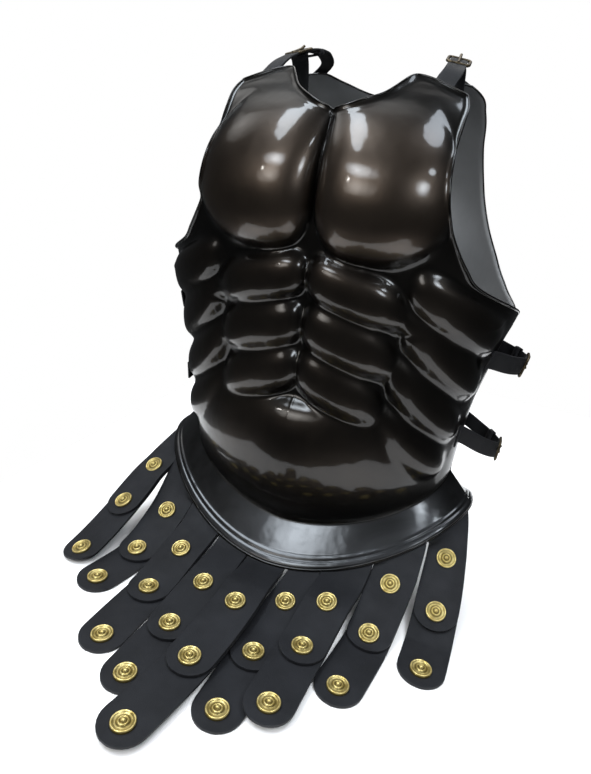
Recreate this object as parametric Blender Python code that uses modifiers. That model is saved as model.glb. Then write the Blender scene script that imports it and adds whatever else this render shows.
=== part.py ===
"""Muscle cuirass: embossed breastplate, plain backplate, leather pteruges with brass studs.

Millimetre values are scaled by MM when meshes are made. +X is the wearer's left, -Y the front
and +Z up. The torso is laid out round its own upright axis; the origin of the whole is in the
middle of its footprint, on the plane Z = 0 that the back rim and the straps rest on.
"""
import math
from collections import namedtuple

import bmesh
import bpy
import numpy as np
from mathutils import Matrix, Vector

MM = 0.001

# ---------------------------------------------------------------- driving dimensions (millimetres)
TORSO_BACK = 130.4         # from the middle of the footprint back to the torso's axis
PLATE_THICK = 1.2          # steel sheet of both plates
SEAM_GAP = 2.5             # between the side edges of the two plates
STRAP_THICK = 2.5          # pteruge leather
STRAP_HALF = 21.5          # half of a pteruge's width
UPPER_REACH = 120.0        # rim to the tip of an upper pteruge
LOWER_REACH = 184.0        # rim to the tip of a lower pteruge
STUD_STEPS = (45.0, 101.0, 165.0)   # rim to the three studs of a strap
STUD_RADIUS = 9.8
STUD_HEIGHT = 5.0
LAYER = 3.2                # height of one layer of leather with its gap
CONTACT_GAP = 0.45         # between touching pieces
STUD_GAP = 1.0             # under a stud, clear of the bent leather

# Torso sections. Each lies in a tilted plane between the side seam and the middle of a plate.
# columns: level = height at the middle, mid_y, side_x, side_y, side_z, square = superellipse power
FRONT_SECTIONS = (
    (56, -118, 152, -33, 121, 1.75),
    (130, -123, 155, -34, 160, 1.80),
    (208, -124, 162, -35, 215, 1.85),
    (265, -125, 173, -36, 265, 1.90),
    (310, -127, 184, -38, 306, 2.10),
    (360, -130, 186, -38, 350, 2.50),
    (410, -128, 178, -38, 395, 2.70),
    (454, -110, 165, -38, 430, 2.70),
    (480, -90, 152, -38, 450, 2.50),
    (497, -63, 138, -36, 468, 2.30),
    (503, -35, 125, -30, 480, 2.20),
)
BACK_SECTIONS = (
    (38, 84, 152, -33, 121, 2.2),
    (120, 84, 155, -34, 160, 2.2),
    (208, 84, 162, -35, 215, 2.2),
    (265, 92, 173, -36, 265, 2.2),
    (310, 100, 184, -38, 306, 2.3),
    (400, 106, 180, -38, 390, 2.6),
    (450, 98, 166, -38, 428, 2.7),
    (485, 76, 150, -36, 452, 2.5),
    (505, 45, 134, -30, 472, 2.3),
    (512, 10, 120, -20, 486, 2.2),
)
# Rims of the flanges: low = height at the middle, mid_y, side_x, side_y, side_z, square, rise power
FRONT_RIM = (22, -153, 181, -28, 86, 1.75, 2.1)
BACK_RIM = (0.0, 114, 181, -28, 86, 2.1, 3.0)

# Edge of a plate from the foot of the armhole to the outer shoulder: level, angle from the middle.
FRONT_ARMHOLE = (
    (303, 90), (327, 68), (342, 62.5), (371, 56), (400, 53), (430, 55), (457, 60.5), (482, 68.5),
)
BACK_ARMHOLE = (
    (290, 90), (303, 71), (318, 62), (342, 54), (370, 47), (405, 42), (448, 41), (477, 46), (505, 56),
)
# Top edge from the middle of the neckline over the neck corner to the outer shoulder:
# share of the way, angle, level
FRONT_TOP = ((0.0, 0, 454), (0.2, 12, 457.5), (0.45, 32, 471), (0.74, 58, 491.5), (1.0, 68.5, 482))
BACK_TOP = ((0.0, 0, 487), (0.22, 13, 489.5), (0.45, 29, 498), (0.75, 45, 505), (1.0, 56, 505))

# Flange below the waist. columns: share of the way from crease to rim, height over the cone
FLANGE_PROFILE = (
    (0.10, 0.0), (0.45, 0.6), (0.71, 0.4), (0.76, 1.6), (0.82, 0.5), (0.95, 2.3), (1.0, 0.2),
)

# Grid lines of the breastplate. Columns by their angle at the waist; rows below the chest by their
# middle level, with the drop at SLANT_ANGLE and the level reached at the side seam.
SLANT_ANGLE = 47.0
FRONT_COLUMNS = (0, 2.5, 7, 13, 20, 27, 34, 40, 45, 48.5, 52, 57, 63, 70, 76, 83, 90)
FRONT_ROWS = (
    (56, 0, 56), (66, 0, 66), (78, 0, 78), (100, 4, 103), (126, 8, 127), (155, 14, 157), (182, 20, 187),
    (204, 30, 208), (210, 31, 214), (217, 30, 222), (231, 27, 236), (246, 24, 251), (251, 24, 257),
    (257, 23, 264), (273, 21, 280), (290, 20, 297), (296, 20, 303),
)
FRONT_CHEST_SHARES = (0.07, 0.16, 0.235, 0.275, 0.31, 0.36, 0.44, 0.54, 0.65, 0.76, 0.87, 0.955, 1.0)
BACK_COLUMNS = (0, 6, 14, 24, 36, 48, 60, 74, 90)
BACK_ROWS = (
    (38, 0, 56), (60, 0, 78), (100, 0, 118), (150, 0, 164), (200, 0, 208), (250, 0, 252), (300, 0, 290),
)
BACK_CHEST_SHARES = (0.2, 0.4, 0.6, 0.8, 0.95, 1.0)
LIP_RISE = 2.4             # edges of neck and armholes turn outward by this much
LIP_REACH = 0.05           # share of the chest patch that the turned edge takes

# Embossed muscles of the flanks and the abdomen. Each is a pillow with a crisp lower edge that
# overlaps the one below it like a shingle.
# columns: name, angle, level, half_angle, below and above = reach down and up, slope = level per
# degree, height
MUSCLES = (
    ("rectus_upper", 25.0, 304, 25.4, 21.0, 28, -0.44, 17),
    ("rectus_middle", 25.0, 256, 25.4, 21.0, 33, -0.50, 16.5),
    ("rectus_lower", 24.0, 208, 25.2, 20.0, 33, -0.64, 16),
    ("serratus_1", 66.0, 295, 17.0, 20.0, 27, -1.40, 12),
    ("serratus_2", 66.5, 250, 17.0, 21.0, 32, -1.90, 12),
    ("serratus_3", 64.5, 199, 17.0, 22.0, 34, -2.10, 12),
    ("serratus_4", 62.5, 147, 17.0, 23.5, 36, -2.20, 13),
)
# Chest muscle and belly. above and below = reach up and down
PECTORAL = {"angle": 28.0, "level": 383.0, "half_angle": 27.5, "above": 86.0, "below": 49.0, "height": 28.0}
BELLY = {"level": 120.0, "half_angle": 80.0, "above": 76.0, "below": 62.0, "height": 24.0}


def read_table(rows, at):
    """Smooth reading of every later column of a table whose first column rises."""
    table = np.asarray(rows, float)
    keys = table[:, 0]
    rise = np.diff(table, axis=0) / np.diff(keys)[:, None]
    slope = np.vstack([rise[:1], (rise[1:] + rise[:-1]) / 2, rise[-1:]])
    at = np.clip(np.asarray(at, float), keys[0], keys[-1])
    i = np.clip(np.searchsorted(keys, at, side="right") - 1, 0, len(keys) - 2)
    step = (keys[i + 1] - keys[i])[..., None]
    t = (at - keys[i])[..., None] / step
    value = ((2 * t**3 - 3 * t**2 + 1) * table[i] + (t**3 - 2 * t**2 + t) * step * slope[i]
             + (3 * t**2 - 2 * t**3) * table[i + 1] + (t**3 - t**2) * step * slope[i + 1])
    return value[..., 1:]


def section_point(angle, level, mid_y, side_x, side_y, side_z, square):
    """Point of one tilted section, at an angle in degrees from the middle of the plate."""
    turn = np.radians(angle)
    depth = np.abs(mid_y - side_y)
    sine, cosine = np.sin(turn), np.cos(turn)
    reach = (np.abs(sine / side_x) ** square + np.abs(cosine / depth) ** square) ** (-1 / square)
    share = reach * cosine / depth
    across, height = reach * sine, side_z + (level - side_z) * share
    return np.stack([across, side_y + (mid_y - side_y) * share, height], -1)


def torso_point(sections, angle, level):
    """Point of the smooth torso, before any relief."""
    return section_point(angle, level, *np.moveaxis(read_table(sections, level), -1, 0))


def torso_normal(sections, angle, level):
    """Outward direction of the smooth torso."""
    around = torso_point(sections, angle + 0.2, level) - torso_point(sections, angle - 0.2, level)
    low, high = level - 0.5, level + 0.5
    upward = torso_point(sections, angle, high) - torso_point(sections, angle, low)
    normal = np.cross(around, upward)
    facing = np.sign(sections[0][1])
    return -facing * normal / np.linalg.norm(normal, axis=-1, keepdims=True)


def pillow(angle, level, middle, middle_level, half_angle, below, above, slope, height):
    """Height of one cushion-shaped muscle, zero at and beyond its outline."""
    across = np.abs(angle - middle) / half_angle
    along = level - middle_level - slope * (angle - middle)
    lower, upper = np.clip(-along / below, 0, 1), np.clip(along / above, 0, 1)
    return height * np.clip(1 - across**3 - lower**2.3 - upper**2.5, 0, 1) ** 0.5


def reach_share(level, muscle):
    """How far a level is on the way to a muscle's upper and lower ends."""
    rise = (level - muscle["level"]) / muscle["above"]
    drop = (muscle["level"] - level) / muscle["below"]
    return np.clip(rise, 0, 1), np.clip(drop, 0, 1)


def pectoral(angle, level):
    """Domed chest muscle: crisp and round below, fading to the shoulder above."""
    across = np.abs(angle - PECTORAL["angle"]) / PECTORAL["half_angle"]
    rise, drop = reach_share(level, PECTORAL)
    return PECTORAL["height"] * np.clip(1 - across**2.4 - drop**2.2, 0, 1) ** 0.55 * (1 - rise**1.5)


def belly(angle, level):
    """Broad swelling under the abdomen that fades out sideways and toward the waist."""
    across = np.clip(np.abs(angle) / BELLY["half_angle"], 0, 1)
    rise, drop = reach_share(level, BELLY)
    return BELLY["height"] * (1 - across**2) * (1 - rise**2.2) ** 0.6 * (1 - drop**2) ** 1.4


def front_relief(angle, level):
    """Height of the embossing over the smooth torso of the breastplate."""
    pillows = [pillow(angle, level, *muscle) for _, *muscle in MUSCLES]
    return np.max([pectoral(angle, level), belly(angle, level), *pillows], axis=0)


def back_relief(angle, level):
    """Spine groove and shoulder blades of the backplate."""
    ends = np.clip((level - 60) / 60, 0, 1) * np.clip((470 - level) / 60, 0, 1)
    groove = -7 * np.exp(-(angle / 7) ** 2) * ends
    blade = 9 * np.exp(-((angle - 27) / 15) ** 2 - ((level - 395) / 48) ** 2)
    return groove + blade


def smooth(share):
    """Ease from 0 to 1."""
    share = np.clip(share, 0, 1)
    return share * share * (3 - 2 * share)


def waist_grid(rows, columns):
    """Angles and levels of the part of a plate below its armholes."""
    angle = np.asarray(columns, float)[None, :] + np.zeros((len(rows), 1))
    mid, drop, side = np.asarray(rows, float).T[:, :, None]
    slant = mid - drop * np.minimum(angle / SLANT_ANGLE, 1)
    toward_side = smooth((angle - SLANT_ANGLE) / (90 - SLANT_ANGLE))
    return angle, slant + (side - slant) * toward_side


def chest_grid(armhole, top, bottom, shares):
    """Angles and levels between the waist grid's last row, the armhole and the neckline."""
    u = bottom[0] / 90
    t = np.asarray(shares, float)[:, None]
    head = read_table(top, u).T
    armhole_level = armhole[0][0] + (armhole[-1][0] - armhole[0][0]) * t[:, 0]
    right = np.stack([read_table(armhole, armhole_level)[:, 0], armhole_level])[:, :, None]
    left = np.stack([0 * t[:, 0], bottom[1, 0] + (head[1, 0] - bottom[1, 0]) * t[:, 0]])[:, :, None]
    bottom, head = bottom[:, None, :], head[:, None, :]
    corners = ((1 - u) * (1 - t) * bottom[:, :, :1] + u * (1 - t) * bottom[:, :, -1:]
               + (1 - u) * t * head[:, :, :1] + u * t * head[:, :, -1:])
    patch = (1 - u) * left + u * right + (1 - t) * bottom + t * head - corners
    return patch[0], patch[1]


# ---------------------------------------------------------------- pteruges
# One row per strap, from the wearer's right to left. from_angle and to_angle = stretch of the rim
# it hangs from, heading = plan direction from straight ahead, bend = turn over its length,
# fall = distance from rim to landing, curl = power of the fall, roll = tilt of the tip,
# low and high = layers of leather that its two straps lie on, pull = extra length drawn out,
# draw = how much further the lower strap is drawn, rise = how much closer its top stud is.
Pteruge = namedtuple("Pteruge", "from_angle to_angle heading bend fall curl roll low high pull draw rise")
PTERUGES = tuple(Pteruge(*row) for row in (
    (-88, -71.7, -5, 0, 180, 1.3, 10, 0, 1, 2, 5, 0),
    (-71.1, -49.3, 2.8, -18, 107, 1.52, 0, 0, 1, -4.3, -9.6, 0),
    (-48.7, -28.3, -6.5, 8.2, 99, 1.42, 0, 0, 1, 0.3, 3.6, 0),
    (-27.7, -10.3, -3, 1.7, 120, 1.55, 0, 0, 1, 12.9, -2.5, 0),
    (-9.7, 9.3, 1.6, -10.6, 150, 1.64, 0, 2, 3, 36.7, 10.5, 15.9),
    (11.7, 26.3, -4.5, 6, 90, 1.6, 0, 0, 1, 8, -1, 10),
    (27.8, 47.8, -7.1, 7.1, 105, 1.5, 0, 2, 3, 3.4, 1, 0),
    (48.7, 67.8, -3, -6, 105, 1.4, 0, 0, 1, -11, 3, 0),
    (68.3, 87.7, 8.1, -11.3, 127, 1.3, 0, 0, 1, -9, 3, 0),
))
ROOT_SHARES = (0.80, 0.98)  # places of a strap's first two rows under the flange
ACROSS = np.array([-1.0, 0.0, 1.0])
FIRST_STEP = 4.0           # distance of a strap's first open row from the foremost point of its rim
SEAT_HALF = 12.0           # a strap is straight for this far either side of a stud
BODY_STEPS = (75, 98.5, 133)   # further rows before, between and past the studs
TIP_ROWS = (0.0, 0.5, 0.85, 0.98)   # stations of the rounded tip, as shares of half the width
SETTLE = 45.0              # distance over which a strap spreads out from the rim to its own layer
ROOT_HALF = 22.5           # half of the widest root
ROOT_SLANT = 0.5           # share of the rim's run to the back that widens a root
TAPER = 85.0               # distance over which a root takes on the strap's own width


def rim_point(rim, angle):
    """Point of a flange's rim; its height follows the distance from the middle."""
    low, mid_y, side_x, side_y, side_z, square, rise = rim
    point = section_point(angle, low, mid_y, side_x, side_y, low, square)
    point[..., 2] = low + (side_z - low) * np.abs(point[..., 0] / side_x) ** rise
    return point


def joint_point(sections, angle):
    """Point of the crease between the torso and the flange."""
    return torso_point(sections, angle, np.full(np.shape(angle), float(sections[0][0])))


def flange_point(sections, rim, angle, share, proud):
    """Point of the flange, proud of the straight cone from crease to rim."""
    def cone(turn, part):
        crease, edge = joint_point(sections, turn), rim_point(rim, turn)
        return crease + (edge - crease) * np.asarray(part)[..., None]

    around = cone(angle + 0.2, share) - cone(angle - 0.2, share)
    down = cone(angle, share + 0.01) - cone(angle, share)
    normal = np.cross(around, down) * -np.sign(sections[0][1])
    normal /= np.linalg.norm(normal, axis=-1, keepdims=True)
    return cone(angle, share) - normal * np.asarray(proud)[..., None]


def strap_root(strap):
    """Points across the rim where a strap comes out from under the flange."""
    angle = (strap.from_angle + strap.to_angle) / 2 + ACROSS * (strap.to_angle - strap.from_angle) / 2
    return flange_point(FRONT_SECTIONS, FRONT_RIM, angle, 1.0, -(PLATE_THICK + CONTACT_GAP + STRAP_THICK))


def rim_lead(strap):
    """How far the foremost point of a strap's rim is ahead of its middle."""
    return np.ptp(strap_root(strap)[:, 1]) / 2


def strap_axis(strap, along):
    """Points and travel directions of the line that both layers of a strap follow."""
    start = strap_root(strap)[1]
    length = LOWER_REACH + strap.pull + strap.draw
    fine = np.linspace(0, length, 190)
    height = start[2] * (1 - np.clip(fine / strap.fall, 0, 1)) ** strap.curl
    dip = np.gradient(height, fine)
    level_step = np.sqrt(np.clip(1 - dip**2, 0.05, 1))
    turn = np.radians(strap.heading + strap.bend * fine / LOWER_REACH)
    step = np.diff(fine, prepend=0)
    x = start[0] + np.cumsum(step * level_step * np.sin(turn))
    y = start[1] - np.cumsum(step * level_step * np.cos(turn))
    track = np.stack([x, y, height], -1)
    way = np.stack([level_step * np.sin(turn), -level_step * np.cos(turn), dip], -1)
    return [np.stack([np.interp(along, fine, part[:, k]) for k in range(3)], -1) for part in (track, way)]


def strap_frames(strap, along, is_lower):
    """Middle points of a strap's underside with its sideways and upward directions."""
    track, way = strap_axis(strap, along)
    side = np.stack([-way[:, 1], way[:, 0], 0 * way[:, 0]], -1)
    side /= np.linalg.norm(side, axis=-1, keepdims=True)
    normal = np.cross(way, side)
    normal /= np.linalg.norm(normal, axis=-1, keepdims=True)
    first, last = (-1, strap.low) if is_lower else (0, strap.high)
    settled = smooth((along - rim_lead(strap)) / SETTLE)
    layer = first + (last - first) * settled
    tilt = -math.copysign(math.radians(strap.roll), strap.from_angle) * settled[:, None]
    track = track + normal * (LAYER * layer[:, None] + STRAP_HALF * np.abs(np.sin(tilt)))
    lean = side * np.cos(tilt) + normal * np.sin(tilt)
    return track, lean, np.cross(way, lean)


def strap_reach(strap, is_lower):
    """Distance from the rim to the tip."""
    return LOWER_REACH + strap.pull + strap.draw if is_lower else UPPER_REACH + strap.pull


def strap_rows(strap, is_lower):
    """Distances from the rim and half widths of a strap's open rows."""
    root_x, root_y, _ = np.ptp(strap_root(strap), axis=0)
    root_half = min(ROOT_HALF, math.hypot(root_x, root_y * ROOT_SLANT) / 2)
    first = rim_lead(strap) + FIRST_STEP
    studs = (STUD_STEPS[0] - strap.rise, *STUD_STEPS[1:])
    steps = [stud + way for stud in studs for way in (-SEAT_HALF, SEAT_HALF)]
    steps = np.sort(steps + list(BODY_STEPS)) + strap.pull
    steps[steps > UPPER_REACH + strap.pull + SEAT_HALF] += strap.draw
    reach = strap_reach(strap, is_lower)
    body = np.array([first] + [step for step in steps if first + 4 < step < reach - STRAP_HALF - 3])
    along = np.concatenate([body, [reach - STRAP_HALF * (1 - share) for share in TIP_ROWS]])
    half = np.concatenate([root_half + (STRAP_HALF - root_half) * smooth(body / TAPER),
                           [STRAP_HALF * math.sqrt(1 - share**2) for share in TIP_ROWS]])
    return along, half


def strap_sheet(strap, is_lower):
    """Grid of points of one pteruge's underside: tucked root, rim, drape, rounded tip."""
    angle = (strap.from_angle + strap.to_angle) / 2 + ACROSS * (strap.to_angle - strap.from_angle) / 2
    depth = PLATE_THICK + CONTACT_GAP + STRAP_THICK + (LAYER if is_lower else 0)
    root = [flange_point(FRONT_SECTIONS, FRONT_RIM, angle, share, -depth) for share in ROOT_SHARES]
    along, half = strap_rows(strap, is_lower)
    track, lean, _ = strap_frames(strap, along, is_lower)
    rows = track[:, None, :] + lean[:, None, :] * (half[:, None] * ACROSS)[..., None]
    return np.concatenate([root, rows])


def stud_seat(strap, index):
    """Point and upward direction of a stud's base; the last stud sits on the lower strap."""
    is_lower = index == 2
    middle = STUD_STEPS[index] + strap.pull + (-strap.rise, 0, strap.draw)[index]
    along, _ = strap_rows(strap, is_lower)
    first = max(np.searchsorted(along, middle) - 1, 0)
    track, lean, _ = strap_frames(strap, along[first:first + 2], is_lower)
    normal = np.cross(track[1] - track[0], lean[0] + lean[1])
    normal /= np.linalg.norm(normal)
    share = (middle - along[first]) / (along[first + 1] - along[first])
    return track[0] + (track[1] - track[0]) * share + normal * (STRAP_THICK + STUD_GAP), normal


def plate_grid(sections, rim, rows, columns, armhole, top, shares, relief):
    """Outer surface of half a plate, from the rim up to the neckline, row by row."""
    angle, level = waist_grid(rows, columns)
    waist = torso_point(sections, angle, level)
    waist = waist + torso_normal(sections, angle, level) * relief(angle, level)[..., None]
    profile = reversed(FLANGE_PROFILE)
    flange = [flange_point(sections, rim, angle[0], share, proud) for share, proud in profile]
    bottom = np.stack([angle[-1], level[-1]])
    chest_angle, chest_level = chest_grid(armhole, top, bottom, shares)
    u, t = bottom[0] / 90, np.asarray(shares, float)[:, None]
    at_armhole = smooth((u - 1) / LIP_REACH + 1) * smooth(t / LIP_REACH)
    turned = np.maximum(at_armhole, smooth((t - 1) / LIP_REACH + 1))
    height = relief(chest_angle, chest_level) + LIP_RISE * turned
    chest = torso_point(sections, chest_angle, chest_level)
    chest = chest + torso_normal(sections, chest_angle, chest_level) * height[..., None]
    return np.concatenate([np.array(flange), waist, chest])


# ---------------------------------------------------------------- shoulder and side straps
# Each strap runs from the breastplate to the backplate, once on either side. Its rows on a plate
# come first the hidden end, last the row at the plate's edge. columns of a row: angle and level of
# one edge, angle and level of the other, height over the plate
# bow_left and bow_right = how far the strap bows out between the plates (x, y, z), x outward
# spread = power of the bow, buckle = place of the buckle between the plates
Harness = namedtuple("Harness", "name front back bow_left bow_right spread buckle")
HARNESS = (
    Harness("shoulder_strap", ((57.5, 472, 61.5, 467, -2.2), (64, 490.5, 66.9, 486, -2.2)),
            ((40.5, 487, 46.5, 485.5, 2.8), (42.3, 498, 49, 497, 5.4), (44.2, 507, 51.5, 507, 6.6)),
            (9, -8, 15), (-5, 3, 17.5), 0.6, 0.375),
    Harness("side_strap_upper", ((80.5, 264, 80.5, 245, 6.2), (83, 266, 83, 246, 3.0)),
            ((60, 256, 60, 237, 2.7), (74, 262, 74, 243, 2.9)), (31, 0, -6), (16, 0, -3), 0.8, 0.5),
    Harness("side_strap_lower", ((79, 172, 79, 147, 8.4), (83, 170, 83, 145, 3.2)),
            ((60, 157, 60, 135, 2.7), (74, 161, 74, 139, 2.9)), (39, 0, -16), (16, 0, -3), 0.8, 0.5),
)
HARNESS_THICK = 2.2        # leather of the shoulder and side straps
BRIDGE_STEPS = 9           # rows of a strap between the plates
BUCKLE_LENGTH = 24.0       # along the strap
BUCKLE_OVERHANG = 3.0      # past each edge of the strap
BUCKLE_BAR = 3.0           # width of its bars and prong
BUCKLE_THICK = 2.6


def plate_rows(sections, rows, shift):
    """Points across a strap where it lies on a plate."""
    angle_a, level_a, angle_b, level_b, height = np.array(rows, float).T
    angles, levels = np.stack([angle_a, angle_b], -1), np.stack([level_a, level_b], -1)
    lift = torso_normal(sections, angles, levels) * height[:, None, None]
    return torso_point(sections, angles, levels) + lift + np.array([0, shift, 0])


def harness_sheet(strap, bow):
    """Rows of points of the outer face of a strap that joins the two plates on the wearer's left."""
    front = plate_rows(FRONT_SECTIONS, strap.front, 0)
    back = plate_rows(BACK_SECTIONS, strap.back, SEAM_GAP)
    t = np.linspace(0, 1, BRIDGE_STEPS)[:, None, None]
    span = front[-1] + (back[-1] - front[-1]) * t + np.array(bow) * (4 * t * (1 - t)) ** strap.spread
    return np.concatenate([front[:-1], span, back[-2::-1]])


def grid_frame(grid, row, sign):
    """Middle point of a row with the strap's travel, sideways and outward directions."""
    way = grid[row + 1].mean(0) - grid[row - 1].mean(0)
    normal = np.cross(grid[row][-1] - grid[row][0], way) * sign
    side = np.cross(normal, way)
    return grid[row].mean(0), [axis / np.linalg.norm(axis) for axis in (way, side, normal)]


# ==== modelling

STEEL = ("steel_black", (0.022, 0.017, 0.014), 0.16, 1.0)
LEATHER = ("leather_black", (0.021, 0.022, 0.027), 0.62, 0.0)
BRASS = ("brass_studs", (0.78, 0.55, 0.17), 0.28, 1.0)
FITTING = ("bronze_buckles", (0.12, 0.09, 0.05), 0.36, 1.0)

# Outline of half a stud: radius and height, top to bottom
STUD_PROFILE = ((0.0, 5.2), (2.7, 3.0), (7.8, 2.3), (9.8, 0.4), (9.8, 0.0), (0.0, 0.0))
STUD_SIDES = 10


def material(name, colour, roughness, metallic):
    made = bpy.data.materials.new(name)
    made.use_nodes = True
    shader = made.node_tree.nodes["Principled BSDF"]
    shader.inputs["Base Color"].default_value = (*colour, 1)
    shader.inputs["Roughness"].default_value = roughness
    shader.inputs["Metallic"].default_value = metallic
    made.diffuse_color = (*colour, 1)
    return made


def add_object(name, mesh, surface):
    made = bpy.data.objects.new(name, mesh)
    made.parent = torso
    cuirass.objects.link(made)
    made.data.materials.append(surface)
    return made


def sheet_object(name, grid, surface, thickness, outward=-1.0, flip=False, mirrored=False):
    """A grid of points in millimetres as a shell; outward 1 thickens along the faces' side."""
    mesh = bpy.data.meshes.new(name)
    shell = bmesh.new()
    verts = [[shell.verts.new(Vector(point) * MM) for point in row] for row in grid]
    for low, high in zip(verts[:-1], verts[1:]):
        for a, b, c, d in zip(low[:-1], low[1:], high[1:], high[:-1]):
            shell.faces.new((d, c, b, a) if flip else (a, b, c, d))
    shell.to_mesh(mesh)
    shell.free()
    mesh.shade_smooth()
    made = add_object(name, mesh, surface)
    if mirrored:
        mirror = made.modifiers.new("mirror", "MIRROR")
        mirror.merge_threshold = 0.00002
    solid = made.modifiers.new("thickness", "SOLIDIFY")
    solid.thickness = thickness * MM
    solid.offset = outward
    return made


def build_plates(surface):
    front = plate_grid(FRONT_SECTIONS, FRONT_RIM, FRONT_ROWS, FRONT_COLUMNS, FRONT_ARMHOLE, FRONT_TOP,
                       FRONT_CHEST_SHARES, front_relief)
    front[:, 0, 0] = 0
    sheet_object("breastplate", front, surface, PLATE_THICK, mirrored=True)
    back = plate_grid(BACK_SECTIONS, BACK_RIM, BACK_ROWS, BACK_COLUMNS, BACK_ARMHOLE, BACK_TOP,
                      BACK_CHEST_SHARES, back_relief)
    back[:, 0, 0] = 0
    back[..., 1] += SEAM_GAP
    sheet_object("backplate", back, surface, PLATE_THICK, flip=True, mirrored=True)


def build_pteruges(leather, brass):
    for number, strap in enumerate(PTERUGES, 1):
        for layer, is_lower in (("upper", False), ("lower", True)):
            grid = strap_sheet(strap, is_lower)
            sheet_object(f"pteruge_{layer}_{number}", grid, leather, STRAP_THICK, outward=1.0, flip=True)
    profile = [(radius * STUD_RADIUS / 9.8, height * STUD_HEIGHT / 5.2) for radius, height in STUD_PROFILE]
    mesh = bpy.data.meshes.new("stud")
    mesh.from_pydata([(radius * MM, 0, height * MM) for radius, height in profile],
                     [(i, i + 1) for i in range(len(profile) - 1)], [])
    for number, strap in enumerate(PTERUGES, 1):
        for index, place in enumerate(("top", "middle", "tip")):
            point, normal = stud_seat(strap, index)
            stud = add_object(f"stud_{number}_{place}", mesh, brass)
            stud.location = Vector(point) * MM
            stud.rotation_euler = Vector(normal).to_track_quat("Z", "Y").to_euler()
            turned = stud.modifiers.new("turned", "SCREW")
            turned.steps = STUD_SIDES
            turned.render_steps = STUD_SIDES
            turned.use_merge_vertices = True
            turned.merge_threshold = 0.00001


def buckle_outline(length, width):
    """Flat outline of a buckle: a rectangle with two windows and the prong between them."""
    outline = bpy.data.curves.new("buckle", "CURVE")
    outline.dimensions = "2D"
    outline.fill_mode = "BOTH"
    outline.extrude = BUCKLE_THICK / 2 * MM
    inner_x, inner_y, prong = length / 2 - BUCKLE_BAR, width / 2 - BUCKLE_BAR, BUCKLE_BAR / 2
    boxes = ((-length / 2, length / 2, -width / 2, width / 2), (-inner_x, inner_x, prong, inner_y),
             (-inner_x, inner_x, -inner_y, -prong))
    for left, right, low, high in boxes:
        corners = ((left, low), (right, low), (right, high), (left, high))
        spline = outline.splines.new("POLY")
        spline.points.add(len(corners) - 1)
        for point, (x, y) in zip(spline.points, corners):
            point.co = (x * MM, y * MM, 0, 1)
        spline.use_cyclic_u = True
    return outline


def build_harness(leather, fitting):
    for strap in HARNESS:
        for side, sign, bow in (("left", 1, strap.bow_left), ("right", -1, strap.bow_right)):
            grid = harness_sheet(strap, bow) * (sign, 1, 1)
            sheet_object(f"{strap.name}_{side}", grid, leather, HARNESS_THICK, flip=sign < 0)
            row = len(strap.front) - 1 + round(strap.buckle * (BRIDGE_STEPS - 1))
            point, (way, across, normal) = grid_frame(grid, row, sign)
            width = np.linalg.norm(grid[row][-1] - grid[row][0]) + 2 * BUCKLE_OVERHANG
            outline = buckle_outline(BUCKLE_LENGTH, width)
            buckle = add_object(f"{strap.name}_{side}_buckle", outline, fitting)
            weld = buckle.modifiers.new("weld", "WELD")
            weld.merge_threshold = 0.00001
            middle = point + normal * (CONTACT_GAP + BUCKLE_THICK / 2)
            turn = Matrix([way, across, normal]).transposed().to_4x4()
            buckle.matrix_basis = Matrix.Translation(Vector(middle) * MM) @ turn


for leftover in list(bpy.data.objects):
    bpy.data.objects.remove(leftover, do_unlink=True)
cuirass = bpy.data.collections.new("muscle_cuirass")
bpy.context.scene.collection.children.link(cuirass)
torso = bpy.data.objects.new("torso_axis", None)
torso.location = (0, TORSO_BACK * MM, 0)
cuirass.objects.link(torso)
steel, leather, brass, fitting = (material(*row) for row in (STEEL, LEATHER, BRASS, FITTING))
build_plates(steel)
build_pteruges(leather, brass)
build_harness(leather, fitting)
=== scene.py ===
"""Looks of the muscle cuirass: mirror-dark embossed steel, blue-black leather, brass rosettes.

The surface functions work in millimetres round the torso's own axis, and to_frame turns that into
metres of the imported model's frame. +X is the wearer's left, -Y the front and +Z up.
"""
import math
from collections import namedtuple
from types import SimpleNamespace

import bpy
import numpy as np
from mathutils import Matrix, Vector


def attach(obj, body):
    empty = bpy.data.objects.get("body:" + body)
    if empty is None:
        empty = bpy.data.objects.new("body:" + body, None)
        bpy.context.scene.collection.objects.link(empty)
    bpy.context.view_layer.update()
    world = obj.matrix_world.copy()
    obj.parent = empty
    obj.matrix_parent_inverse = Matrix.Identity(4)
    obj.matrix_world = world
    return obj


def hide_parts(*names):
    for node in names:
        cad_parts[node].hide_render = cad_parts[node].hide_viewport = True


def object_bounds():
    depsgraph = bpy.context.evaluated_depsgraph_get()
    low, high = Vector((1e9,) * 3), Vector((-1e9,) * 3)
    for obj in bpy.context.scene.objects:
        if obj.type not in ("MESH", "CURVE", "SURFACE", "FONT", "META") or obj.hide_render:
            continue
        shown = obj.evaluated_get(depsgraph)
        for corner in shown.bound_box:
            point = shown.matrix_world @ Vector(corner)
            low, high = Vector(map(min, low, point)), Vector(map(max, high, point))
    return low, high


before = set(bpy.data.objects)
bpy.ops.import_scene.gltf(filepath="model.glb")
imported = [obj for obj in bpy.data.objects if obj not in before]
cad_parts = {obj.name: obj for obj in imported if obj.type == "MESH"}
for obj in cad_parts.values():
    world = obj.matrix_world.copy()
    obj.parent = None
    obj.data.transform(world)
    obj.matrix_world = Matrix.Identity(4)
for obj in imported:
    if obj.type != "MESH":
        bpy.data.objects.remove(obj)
cad_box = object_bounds()

MM = 0.001
BODY = "root"

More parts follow.
